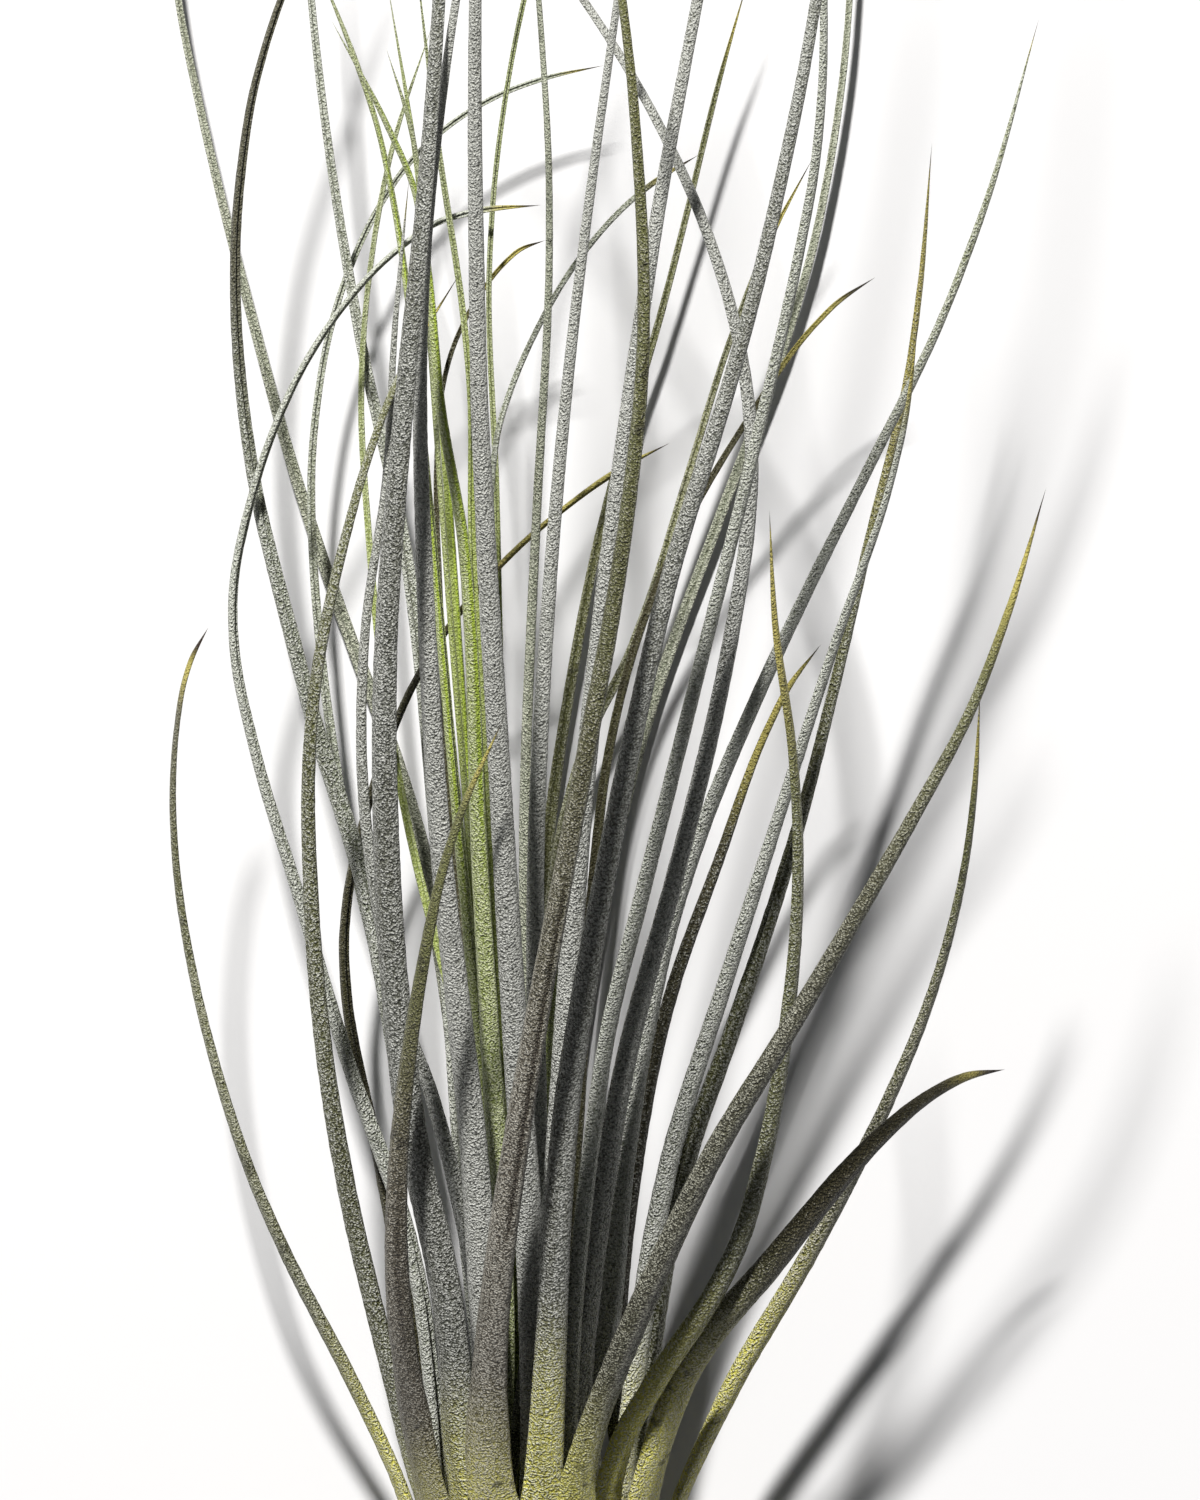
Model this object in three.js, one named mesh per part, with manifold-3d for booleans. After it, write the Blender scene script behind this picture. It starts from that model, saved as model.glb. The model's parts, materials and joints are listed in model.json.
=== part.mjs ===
// Juncea air plant, as picked and laid on its side: slender channelled leaves from a small bulb.
// Millimetres. +Y runs from the root end to the leaf tips, +X is the plant's right, +Z is up and
// the surface that it lies on is z = 0. The origin is the middle of the flat spot under the bulb.

import * as THREE from 'three';
import * as BufferGeometryUtils from 'three/addons/utils/BufferGeometryUtils.js';
import Module from 'manifold-3d';

// Bulb: rings of sheaths round a short stem, all standing square to +Y
const BULB_MIDDLE = 20;
const RING_RADIUS = 14;
const RING_STEP = 2.2;
const SHEATH_THICK = 1.8;
const SHEATH_SIDE_GAP = 0.4;
const FIRST_SHEATH = 3;
const SHEATH_RISE = 2.6;
const SEAT_GAP = 0.3;
const BASE_TAPER = 0.0012;
const AXIS_RISE = Math.tan(THREE.MathUtils.degToRad(12));
const REST_HALF_LENGTH = 6;

// Leaves: where a sheath has become a blade, and how the blades fan out
const SHEATH_END = 27;
const BLADE_START = 48;
const BLADE_SETTLED = 72;
const FAN_GAIN = 4.6;
const FAN_LENGTH = 150;
const BLADE_THICK_RATIO = 0.65;
const BLADE_THICK_MIN = 0.75;
const TIP_WIDE = 0.6;
const LEAF_GAP = 0.65;
const TIP_HEIGHT_MIN = 0.1;

// How leaves that meet are moved apart
const SETTLE_ROUNDS = 260;
const SETTLE_FROM = 38;
const SETTLE_STEP = 3;
const NEIGHBOUR = 12;
const COVER_SHARE = 0.6;
const PUSH_LIMIT = 1.5;
const PUSH_SHARE = 0.4;
const LEAST_LIFT = 0.35;
const LYING_SHARE = 0.85;
const SIDE_SHARE = 0.12;
const SIDE_LIMIT = 0.7;
const EVEN_SHARE = 0.06;
const LEAST_RISE = 0.2;
const LEAST_APART = 0.01;

// How finely a leaf is divided
const WAY_SAMPLES = 160;
const CHORD_ERROR = 0.3;
const LONGEST_SPAN = 36;
const FIXED_LEVELS = [
  BULB_MIDDLE - REST_HALF_LENGTH, BULB_MIDDLE + REST_HALF_LENGTH, SETTLE_FROM, BLADE_START + 4,
];

// Sections are eight points: five round the outer face, three along the channel
const BLADE_OUTLINE = [
  [-0.5, -0.2], [-0.38, 0.24], [0, 0.5], [0.38, 0.24], [0.5, -0.2],
  [0.27, -0.5], [0, -0.16], [-0.27, -0.5],
];
const OUTER_SHARES = [-1, -0.5, 0, 0.5, 1];
const INNER_SHARES = [0.62, 0, -0.62];
const OUTER_MIDDLE = 2;

// Each leaf: how wide its blade looks from above, and its way as [x, y], with y from the root end.
// taper shapes its narrowing, lean spreads it more or less than its neighbours, twist turns it in
// degrees, bow lifts its middle and curl its tip.
const RINGS = [
  {
    name: 'outer_leaf', phase: -90, colour: 0x7d7a5c,
    leaves: [
      { wide: 2.7, curl: 14,
        way: [[0.5, 60], [0.6, 120], [4.2, 150], [9.3, 176.5], [18.6, 210], [26, 240], [30, 254]] },
      { wide: 2.8, lean: 1.2, curl: 10,
        way: [[2.5, 60], [4, 90], [8.6, 120], [14, 143], [19.8, 160], [29, 185], [37.9, 210],
          [42.2, 230], [44.5, 250], [45.5, 295]] },
      { wide: 2.6, taper: 1.6, curl: 8,
        way: [[11.2, 45], [12.2, 66], [14.9, 90], [19.6, 110], [26.9, 130], [34.6, 150], [40.3, 158.1]] },
      { wide: 3.4, bow: -4, curl: 12,
        way: [[22, 40], [29.3, 55], [38.2, 70], [48.6, 90], [56.7, 110], [61.3, 130], [62.8, 151.2]] },
      { wide: 4.9, taper: 1.4, lean: 0.9, bow: 6, curl: -14,
        way: [[15.8, 40], [21.4, 55], [33.5, 70], [46, 85], [55, 93], [61, 96.2], [66.5, 97.2]] },
      { wide: 4.0, taper: 1.2, bow: 8, curl: -16,
        way: [[5.6, 40], [10.9, 55], [17.4, 70], [24.6, 85], [33.6, 100], [51.2, 130], [61.9, 150],
          [69, 170], [72, 180.3]] },
      { wide: 7.0, taper: 0.55, lean: 1.05, twist: -40, bow: 10, curl: -34,
        way: [[-7.4, 40], [-7, 60], [-3.1, 90], [4.1, 130], [11.4, 170], [14.6, 200], [13.6, 230],
          [11.2, 252], [5, 290], [-2, 318]] },
      { wide: 5.2, taper: 0.65, lean: 1.3, bow: 5, curl: 6,
        way: [[-16.2, 40], [-19.8, 60], [-20.5, 78], [-18.6, 100], [-12.6, 130], [-5, 147.5]] },
      { wide: 2.3, bow: 4, curl: -10,
        way: [[-21, 40], [-28.1, 55], [-40.4, 80], [-49.4, 110], [-52.5, 135], [-50.5, 154],
          [-47.4, 160.5]] },
      { wide: 2.2, curl: 6,
        way: [[-17, 48], [-21, 72], [-24.6, 91.6], [-28.2, 112], [-26.4, 128.5], [-17.9, 152.8],
          [-5.4, 169.7], [10.4, 182.5], [18.7, 186.9]] },
      { wide: 2.8, taper: 1.2, lean: 1.2, curl: 12,
        way: [[-9, 60], [-12, 95], [-17.7, 131], [-27.8, 160], [-34.9, 181], [-44.9, 218.4],
          [-52, 250], [-57, 292]] },
    ],
  },
  {
    name: 'second_leaf', phase: -90, colour: 0x85876a,
    leaves: [
      { wide: 2.5, taper: 1.1, curl: 10,
        way: [[-4, 60], [-2, 90], [0.2, 110], [3.3, 132], [7.9, 147], [12.8, 156.5], [17.5, 170],
          [26.7, 200], [33.6, 217.5], [39.2, 228]] },
      { wide: 2.4, curl: 12,
        way: [[3.5, 55], [5.5, 90], [8.8, 135], [12, 152], [17.5, 168], [25, 182.3], [33.3, 195.5],
          [41.5, 206], [48.1, 210.7]] },
      { wide: 3.5, taper: 0.75, bow: -4, curl: 10,
        way: [[14, 42], [17, 62], [20.1, 80], [26.8, 100], [36.6, 130], [44.2, 160], [49.9, 185],
          [53.3, 200], [56, 229.7]] },
      { wide: 3.6, bow: -3, curl: 12,
        way: [[12.5, 40], [14, 55], [17.7, 80], [23.6, 100], [33.1, 130], [42.8, 160], [51.1, 185],
          [53.8, 203.5]] },
      { wide: 3.6, lean: 1.1, bow: 4, curl: 12,
        way: [[11.5, 42], [19.2, 56], [27.8, 70], [33.3, 90], [36.8, 120], [36.3, 140], [33.6, 160],
          [32.6, 177]] },
      { wide: 5.0, taper: 0.65, bow: 6, curl: -16,
        way: [[0.8, 40], [2.4, 70], [3.7, 90], [10.3, 130], [19.2, 170], [28.5, 200], [35.6, 230],
          [39.3, 250], [46, 300], [50, 350]] },
      { wide: 4.8, taper: 1.2, bow: 6, curl: -8,
        way: [[-12, 42], [-13, 60], [-18.8, 90], [-21.6, 120], [-22.1, 155], [-19.5, 190],
          [-16.5, 220], [-14.2, 250], [-12.4, 285], [-12, 318]] },
      { wide: 3.0, taper: 1.3, bow: 4, curl: -10,
        way: [[-18.5, 40], [-23, 60], [-29.7, 90], [-33, 125], [-32.5, 150], [-27.8, 174], [-21, 195],
          [-11.7, 211]] },
      { wide: 2.6, bow: 4, curl: -4,
        way: [[-14.5, 42], [-18.1, 70], [-25, 90], [-34, 120], [-42.4, 149.5], [-44, 165],
          [-37.4, 190.5], [-27.3, 207.5], [-14.5, 218.5], [-3.1, 220.7], [0.2, 220.9]] },
      { wide: 2.2, curl: -4,
        way: [[-12.5, 50], [-19, 90], [-24, 115], [-28.5, 135], [-32.3, 165], [-32.6, 188],
          [-28.2, 210], [-18.2, 228], [-4.9, 237.5], [9.3, 241.3]] },
    ],
  },
  {
    name: 'third_leaf', phase: -70, colour: 0x8a9070,
    leaves: [
      { wide: 1.4, curl: 8,
        way: [[-2, 55], [-10, 100], [-14.3, 160], [-14, 195], [-9.5, 206.8], [-3.2, 214.4], [0.8, 216]] },
      { wide: 1.7, curl: 10,
        way: [[2, 55], [-3, 100], [-6.5, 185], [-2.2, 199], [5.2, 212.5], [14.1, 222.3], [22.8, 228]] },
      { wide: 3.6, bow: 5, curl: -12,
        way: [[7.2, 40], [9.6, 60], [12.9, 90], [19.2, 120], [30.8, 150], [45.4, 180], [59.8, 210],
          [66.4, 230], [71.3, 247.5]] },
      { wide: 2.5, taper: 1.7, bow: 3, curl: 14,
        way: [[4, 45], [5.4, 70], [9, 100], [16.5, 130], [24.1, 160], [33.9, 200], [39.4, 228],
          [40.3, 250], [39, 292]] },
      { wide: 4.5, bow: 4, curl: 22,
        way: [[-0.5, 50], [-1.2, 70], [-3.5, 103], [-5.1, 130], [-6.8, 160], [-8.4, 190], [-9.1, 235],
          [-9, 250], [-8, 300], [-6, 350]] },
      { wide: 5.2, taper: 0.75, curl: 16,
        way: [[-7, 40], [-8.2, 65], [-10, 90], [-14.3, 130], [-16.8, 180], [-16.5, 210], [-11.7, 250],
          [-5, 285]] },
      { wide: 2.8, curl: 10,
        way: [[-8, 50], [-9.9, 64], [-14, 88.5], [-20.5, 108], [-25, 135], [-24.8, 159], [-22, 178],
          [-20.2, 204], [-18.2, 224.4]] },
      { wide: 3.4, taper: 1.1, bow: 4, curl: -12,
        way: [[-11, 42], [-14, 65], [-19, 90], [-26, 126], [-33.3, 149.5], [-38.1, 170], [-42, 187],
          [-43.7, 215], [-40.6, 239.5], [-37, 250], [-27, 278]] },
      { wide: 2.8, taper: 1.3, curl: 14,
        way: [[-9, 60], [-13, 110], [-16.5, 150], [-19.1, 170.6], [-23.7, 191.4], [-29.6, 224.4],
          [-32.7, 250], [-36, 286]] },
    ],
  },
  {
    name: 'inner_leaf', phase: 90, colour: 0x8c9a62,
    leaves: [
      { wide: 4.0, taper: 1.1, bow: 6, curl: -22,
        way: [[1, 50], [3.2, 90], [6.2, 135], [11.2, 180], [17, 220], [22.6, 250], [30, 290],
          [35, 325]] },
      { wide: 4.0, taper: 0.8, curl: 10,
        way: [[-5.5, 60], [-6.8, 92], [-8.9, 130], [-10.7, 170], [-13.9, 190], [-17.7, 222],
          [-21.4, 231], [-29.6, 246.6]] },
      { wide: 2.3, curl: -8,
        way: [[-6.5, 60], [-9.6, 110], [-12.4, 140], [-16, 180], [-19, 209], [-20.7, 220],
          [-24.1, 235], [-29.8, 250], [-33, 258]] },
      { wide: 1.3, curl: 12,
        way: [[-3, 60], [-5, 120], [-6.3, 180], [-7.2, 215], [-4.7, 238], [-2.2, 250], [3, 276]] },
      { wide: 1.7, curl: -6,
        way: [[0, 60], [-12, 105], [-20.5, 140], [-24.2, 170], [-25.6, 195], [-23.9, 215],
          [-20.5, 231.7], [-15.4, 247]] },
      { wide: 1.3, curl: 8,
        way: [[0, 60], [-9, 120], [-15, 190], [-17.5, 227], [-19.3, 234.5], [-21.9, 243]] },
      { wide: 3.8, bow: 6, curl: -18,
        way: [[6, 50], [7.9, 70], [12.8, 100], [20.8, 130], [27.6, 160], [30.3, 185], [27, 207],
          [18, 230], [6, 250], [-8, 268], [-22, 280]] },
    ],
  },
  {
    name: 'heart_leaf', phase: 90, colour: 0x9aab58,
    leaves: [
      { wide: 3.5, curl: 12,
        way: [[0, 60], [-0.5, 100], [-0.5, 130], [1.7, 170], [4.5, 200], [8.3, 230], [11.2, 250],
          [17, 292]] },
      { wide: 2.2, curl: -10,
        way: [[-1.5, 60], [-2, 110], [-2, 140], [-0.3, 180], [1.4, 218], [0.2, 245], [-3, 282]] },
      { wide: 2.0, curl: 10,
        way: [[-4, 60], [-7, 120], [-9.9, 175], [-10.3, 198], [-12, 211], [-14.5, 228.5], [-17, 250],
          [-18, 258]] },
      { wide: 2.3, curl: -8,
        way: [[-4.5, 60], [-7.5, 100], [-10.5, 140], [-13.1, 180], [-17.7, 228], [-20.2, 244],
          [-22, 254]] },
      { wide: 2.0, curl: 6,
        way: [[2, 55], [0.9, 92], [4, 120], [8.6, 150], [12.6, 184]] },
    ],
  },
];

// Stem: its broad foot behind the outer sheaths, its rounded root end and its tip
const STEM_SIDES = 16;
const STEM_TOP = 16.5;
const STEM_POINT = 2;
const FOOT_THICK = 1.2;
const ROOT_END = [[0, -1.6], [0.45, -1.44], [0.8, 0]];

// Roots: [direction in degrees round the stem's end, length, how far it curls up]
const ROOTS = [[20, 15, 2], [95, 11, 3], [160, 17, -1], [230, 9, 3], [310, 13, 2]];
const ROOT_RADIUS = 0.5;
const ROOT_SIDES = 6;
const ROOT_STEPS = 7;
const ROOT_DEPTH = 1.5;
const ROOT_PLACES = [3, 4.2, 5.2, 4.6];

const ease = THREE.MathUtils.smoothstep;
const mix = THREE.MathUtils.lerp;

// The bulb swells from the root end to its middle, and the leaves spread from there
function swell(y) {
  if (y < BULB_MIDDLE) return 1 - BASE_TAPER * (BULB_MIDDLE - y) ** 2;
  return 1 + FAN_GAIN * (1 - Math.exp((BULB_MIDDLE - y) / FAN_LENGTH));
}

const REST_HALF_ANGLE = (Math.PI / RINGS[0].leaves.length) * OUTER_SHARES[3];
const AXIS_HEIGHT = (RING_RADIUS + SHEATH_THICK / 2) * Math.cos(REST_HALF_ANGLE);

// Height of the plant's middle line over the surface
function axisHeight(y) {
  return AXIS_HEIGHT + AXIS_RISE * (y - BULB_MIDDLE);
}

// Below the middle line the fan is pressed flat enough to lie on the surface
function fanHeight(y, offset) {
  const height = axisHeight(y);
  const lying = (height - BLADE_THICK_MIN / 2) / RING_RADIUS;
  return height + offset * (offset > 0 ? swell(y) : Math.min(swell(y), lying));
}

const ringRadius = (ring) => RING_RADIUS - RING_STEP * ring;
const sheathStart = (ring) => FIRST_SHEATH + SHEATH_RISE * ring;

// One leaf's place in the bulb, with its middle line as dense samples
function placeLeaf(ring, index) {
  const { phase, leaves } = RINGS[ring];
  const { wide, way, lean = 1, taper = 0.9, twist = 0, bow = 0, curl = 0 } = leaves[index];
  const angle = THREE.MathUtils.degToRad(phase + (360 / leaves.length) * index);
  const radius = ringRadius(ring);
  const start = sheathStart(ring);
  const slot = { x: radius * Math.cos(angle), z: radius * Math.sin(angle) };
  const sheath = [start, (start + BULB_MIDDLE) / 2, BULB_MIDDLE, SHEATH_END];
  const knots = sheath.map((y) => new THREE.Vector3(slot.x * swell(y), y, 0));
  for (const [x, y] of way) knots.push(new THREE.Vector3(x, y, 0));
  const curve = new THREE.CatmullRomCurve3(knots, false, 'centripetal');
  const samples = curve.getSpacedPoints(WAY_SAMPLES);
  for (const point of samples) {
    const opened = mix(1, lean, ease(point.y, SHEATH_END, BLADE_SETTLED));
    point.z = fanHeight(point.y, slot.z * opened);
  }
  const last = samples.length - 1;
  const first = samples.findIndex((point) => point.y >= BLADE_START);
  samples.forEach((point, i) => {
    const along = Math.max(0, (i - first) / (last - first));
    point.z += bow * Math.sin(Math.PI * along) + curl * along ** 3;
  });
  return { ring, angle, radius, start, wide, taper, twist, order: slot.z * lean, samples };
}

// Keeps only the samples that the line needs, by the farthest one from each chord
function thin(samples, first, last, kept) {
  const from = samples[first];
  const to = samples[last];
  const chord = new THREE.Line3(from, to);
  let worst = -1;
  let distance = 0;
  for (let i = first + 1; i < last; i += 1) {
    const off = samples[i].distanceTo(chord.closestPointToPoint(samples[i], true, new THREE.Vector3()));
    if (off > distance) {
      distance = off;
      worst = i;
    }
  }
  if (distance > CHORD_ERROR || (from.distanceTo(to) > LONGEST_SPAN && last - first > 1)) {
    if (distance <= CHORD_ERROR) worst = Math.round((first + last) / 2);
    thin(samples, first, worst, kept);
    thin(samples, worst, last, kept);
  } else {
    kept.push(last);
  }
}

// Stations: the points of the middle line that carry a section
function addStations(leaf) {
  const { samples } = leaf;
  const levels = FIXED_LEVELS.map((y) => samples.findIndex((point) => point.y >= y));
  const fixed = [0, ...levels, samples.length - 1];
  const kept = [0];
  for (let i = 1; i < fixed.length; i += 1) thin(samples, fixed[i - 1], fixed[i], kept);
  const bladeFirst = samples.findIndex((point) => point.y >= BLADE_START);
  leaf.stations = kept.map((i) => {
    const along = Math.max(0, (i - bladeFirst) / (samples.length - 1 - bladeFirst));
    const point = samples[i].clone();
    return { point, home: point.clone(), shift: new THREE.Vector3(), held: point.y < SHEATH_END, along };
  });
}

// Visible width of a blade, and the true width and thickness that its facing gives
function bladeSize(leaf, along) {
  const seen = mix(TIP_WIDE, leaf.wide, 1 - along ** leaf.taper);
  const facing = Math.hypot(Math.sin(leaf.angle), BLADE_THICK_RATIO * Math.cos(leaf.angle));
  const wide = seen / facing;
  return { wide, thick: Math.max(BLADE_THICK_MIN, wide * BLADE_THICK_RATIO) };
}

function sheathWidth(leaf) {
  return (2 * Math.PI * leaf.radius) / RINGS[leaf.ring].leaves.length - SHEATH_SIDE_GAP;
}

// How far the sheath has become a blade at this height
const bladeShare = (y) => ease(y, BULB_MIDDLE, BLADE_START);

function sizeAt(leaf, y, along) {
  const blade = bladeSize(leaf, along);
  const share = bladeShare(y);
  return {
    wide: mix(sheathWidth(leaf), blade.wide, share),
    thick: mix(SHEATH_THICK, blade.thick, ease(y, BULB_MIDDLE, BLADE_SETTLED)),
  };
}

// Section frame: out points away from the plant's middle, side runs across the leaf
function frameAt(leaf, tangent, y) {
  const normal = new THREE.Vector3(0, 1, 0).lerp(tangent, ease(y, BULB_MIDDLE, BLADE_START)).normalize();
  const out = new THREE.Vector3(Math.cos(leaf.angle), 0, Math.sin(leaf.angle));
  out.addScaledVector(normal, -out.dot(normal)).normalize();
  const turn = THREE.MathUtils.degToRad(leaf.twist) * ease(y, SHEATH_END, BLADE_SETTLED);
  out.applyAxisAngle(normal, turn);
  return { out, side: new THREE.Vector3().crossVectors(out, normal) };
}

function tangentAt(stations, k) {
  const before = stations[Math.max(0, k - 1)].point;
  const after = stations[Math.min(stations.length - 1, k + 1)].point;
  return new THREE.Vector3().subVectors(after, before).normalize();
}

// Half-extent of the section along a direction in the upright plane across the plant
function reach(slice, dx, dz) {
  const { out, side, wide, thick, slopeX, slopeZ } = slice;
  const across = (wide / 2) * (side.x * dx + side.z * dz);
  const through = (thick / 2) * (out.x * dx + out.z * dz);
  const slant = (wide / 2) * (slopeX * dx + slopeZ * dz);
  return Math.hypot(across, through, slant);
}

// The leaf cut by the upright plane at y, or null where it doesn't reach
function sliceAt(leaf, y) {
  const { stations } = leaf;
  if (y < stations[0].point.y || y > stations.at(-1).point.y) return null;
  let k = 1;
  while (stations[k].point.y < y) k += 1;
  const from = stations[k - 1];
  const to = stations[k];
  const rise = Math.max(LEAST_RISE, to.point.y - from.point.y);
  const share = (y - from.point.y) / rise;
  const along = mix(from.along, to.along, share);
  const tangent = new THREE.Vector3().subVectors(to.point, from.point).normalize();
  return {
    k,
    share,
    x: mix(from.point.x, to.point.x, share),
    z: mix(from.point.z, to.point.z, share),
    slopeX: (to.point.x - from.point.x) / rise,
    slopeZ: (to.point.z - from.point.z) / rise,
    ...sizeAt(leaf, y, along),
    ...frameAt(leaf, tangent, y),
  };
}

// Leaves that would pass through each other are moved apart, the front one forward
function pushStations(leaf, slice, dx, dz) {
  for (const [k, share] of [[slice.k - 1, 1 - slice.share], [slice.k, slice.share]]) {
    const station = leaf.stations[k];
    if (station.held) continue;
    station.shift.x = THREE.MathUtils.clamp(station.shift.x + dx * share, -SIDE_LIMIT, SIDE_LIMIT);
    station.shift.z += dz * share;
  }
}

// A blade bends over a length, so each station is drawn towards its neighbours' shifts
function evenOut(leaf) {
  const { stations } = leaf;
  const before = stations.map((station) => station.shift.clone());
  stations.forEach((station, k) => {
    if (station.held) return;
    const next = before[Math.min(k + 1, stations.length - 1)];
    const even = new THREE.Vector3().lerpVectors(before[k - 1], next, 0.5);
    station.shift.lerp(even, EVEN_SHARE);
    station.point.copy(station.home).add(station.shift);
  });
}

// How far two leaves cut at one height are short of clearing each other, and which way
function shortfall(a, b) {
  const dx = b.slice.x - a.slice.x;
  const dz = b.slice.z - a.slice.z;
  const apart = Math.max(LEAST_APART, Math.hypot(dx, dz));
  const ux = dx / apart;
  const uz = dz / apart;
  const need = reach(a.slice, ux, uz) + reach(b.slice, ux, uz) + LEAF_GAP;
  const across = reach(a.slice, 1, 0) + reach(b.slice, 1, 0);
  const wrongWay = (b.leaf.order - a.leaf.order) * dz < 0 && Math.abs(dx) < across * COVER_SHARE;
  const short = wrongWay ? Math.min(need, PUSH_LIMIT) : need - apart;
  return { short, ux, uz };
}

function settleLevel(leaves, y) {
  const cuts = [];
  for (const leaf of leaves) {
    const slice = sliceAt(leaf, y);
    if (!slice) continue;
    const low = reach(slice, 0, 1) * LYING_SHARE - slice.z;
    if (low > 0) pushStations(leaf, slice, 0, low);
    cuts.push({ leaf, slice });
  }
  for (let i = 0; i < cuts.length; i += 1) {
    for (let j = i + 1; j < cuts.length; j += 1) {
      const a = cuts[i];
      const b = cuts[j];
      if (Math.hypot(b.slice.x - a.slice.x, b.slice.z - a.slice.z) > NEIGHBOUR) continue;
      const { short, ux, uz } = shortfall(a, b);
      if (short <= 0) continue;
      const forward = b.leaf.order >= a.leaf.order ? 1 : -1;
      const lift = forward * short * PUSH_SHARE * Math.max(Math.abs(uz), LEAST_LIFT);
      const aside = short * SIDE_SHARE * ux;
      pushStations(a.leaf, a.slice, -aside, -lift);
      pushStations(b.leaf, b.slice, aside, lift);
    }
  }
}

function settle(leaves) {
  const top = Math.max(...leaves.map(({ stations }) => stations.at(-1).point.y));
  for (let round = 0; round < SETTLE_ROUNDS; round += 1) {
    for (let y = SETTLE_FROM; y < top; y += SETTLE_STEP) settleLevel(leaves, y);
    for (const leaf of leaves) evenOut(leaf);
  }
}

// Points of one section: a curved shell in the bulb, a channelled blade above it
function sectionPoints(leaf, station, tangent) {
  const { point, along } = station;
  const { thick } = sizeAt(leaf, point.y, along);
  const blade = bladeSize(leaf, along);
  const share = bladeShare(point.y);
  const size = Math.min(1, swell(point.y));
  const half = sheathWidth(leaf) / 2 / leaf.radius;
  const outer = leaf.radius + SHEATH_THICK / 2;
  const inner = leaf.radius - SHEATH_THICK / 2;
  const outerFace = OUTER_SHARES.map((s) => [s * half, outer]);
  const innerFace = INNER_SHARES.map((s) => [s * half, inner]);
  const shell = [...outerFace, ...innerFace];
  const { out, side } = frameAt(leaf, tangent, point.y);
  return shell.map(([turn, far], i) => {
    const sheathA = size * far * Math.sin(turn);
    const sheathB = size * (far * Math.cos(turn) - leaf.radius);
    const bladeA = BLADE_OUTLINE[i][0] * blade.wide;
    const bladeB = BLADE_OUTLINE[i][1] * thick;
    return point.clone()
      .addScaledVector(side, mix(sheathA, bladeA, share))
      .addScaledVector(out, mix(sheathB, bladeB, share));
  });
}

// Closed solid through the sections, flat at the base and pointed at the tip
function leafGeometry(leaf) {
  const { stations } = leaf;
  const rings = [];
  for (let k = 0; k < stations.length - 1; k += 1) {
    rings.push(sectionPoints(leaf, stations[k], tangentAt(stations, k)));
  }
  const tip = stations.at(-1).point;
  const positions = [];
  for (const ring of rings) for (const p of ring) positions.push(p.x, p.y, Math.max(0, p.z));
  positions.push(tip.x, tip.y, Math.max(TIP_HEIGHT_MIN, tip.z));
  const count = BLADE_OUTLINE.length;
  const index = [];
  for (let i = 0; i < count; i += 1) {
    const next = (i + 1) % count;
    if (i !== OUTER_MIDDLE && next !== OUTER_MIDDLE) index.push(OUTER_MIDDLE, i, next);
    for (let k = 0; k < rings.length - 1; k += 1) {
      const low = k * count;
      const high = low + count;
      index.push(low + i, high + i, high + next, low + i, high + next, low + next);
    }
    const last = (rings.length - 1) * count;
    index.push(last + i, rings.length * count, last + next);
  }
  const geometry = new THREE.BufferGeometry();
  geometry.setAttribute('position', new THREE.Float32BufferAttribute(positions, 3));
  geometry.setIndex(index);
  return geometry;
}

// Stem: a stepped cone, one step for each ring of sheaths to sit on
function stemProfile() {
  const foot = (RING_RADIUS + SHEATH_THICK / 2) * swell(FIRST_SHEATH);
  const profile = ROOT_END.map(([share, y]) => new THREE.Vector2(share * foot, y));
  profile.push(new THREE.Vector2(foot, FIRST_SHEATH - FOOT_THICK));
  profile.push(new THREE.Vector2(foot, FIRST_SHEATH - SEAT_GAP));
  for (let ring = 0; ring < RINGS.length; ring += 1) {
    const wall = (y) => (ringRadius(ring) - SHEATH_THICK / 2) * swell(y) - SEAT_GAP;
    const low = sheathStart(ring) - SEAT_GAP;
    const high = ring + 1 < RINGS.length ? sheathStart(ring + 1) - SEAT_GAP : STEM_TOP;
    profile.push(new THREE.Vector2(wall(low), low));
    profile.push(new THREE.Vector2(wall(high), high));
  }
  profile.push(new THREE.Vector2(0, STEM_TOP + STEM_POINT));
  return profile;
}

// A dry root: a bent tube that starts inside the stem
function rootGeometry([degrees, length, curl]) {
  const turn = THREE.MathUtils.degToRad(degrees);
  const away = new THREE.Vector3(Math.cos(turn), 0, Math.sin(turn));
  const backs = [-ROOT_DEPTH, ROOT_DEPTH, length / 2, length];
  const path = new THREE.CatmullRomCurve3(ROOT_PLACES.map((out, i) => {
    const curled = curl * Math.max(0, backs[i] / length) ** 2;
    return new THREE.Vector3(0, -backs[i], curled).addScaledVector(away, out);
  }));
  const section = new THREE.Shape();
  for (let i = 0; i < ROOT_SIDES; i += 1) {
    const around = (2 * Math.PI * i) / ROOT_SIDES;
    const place = [ROOT_RADIUS * Math.cos(around), ROOT_RADIUS * Math.sin(around)];
    if (i === 0) section.moveTo(...place);
    else section.lineTo(...place);
  }
  section.closePath();
  return new THREE.ExtrudeGeometry(section, { steps: ROOT_STEPS, extrudePath: path, bevelEnabled: false });
}

const wasm = await Module();
wasm.setup();

function toSolid(geometry) {
  const bare = geometry.clone();
  bare.deleteAttribute('normal');
  bare.deleteAttribute('uv');
  const merged = BufferGeometryUtils.mergeVertices(bare, 1e-4);
  return new wasm.Manifold(new wasm.Mesh({
    numProp: 3,
    vertProperties: new Float32Array(merged.attributes.position.array),
    triVerts: new Uint32Array(merged.index.array),
  }));
}

function fromSolid(solid) {
  const { vertProperties, triVerts } = solid.getMesh();
  const geometry = new THREE.BufferGeometry();
  geometry.setAttribute('position', new THREE.BufferAttribute(vertProperties, 3));
  geometry.setIndex(new THREE.BufferAttribute(triVerts, 1));
  return geometry;
}

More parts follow.
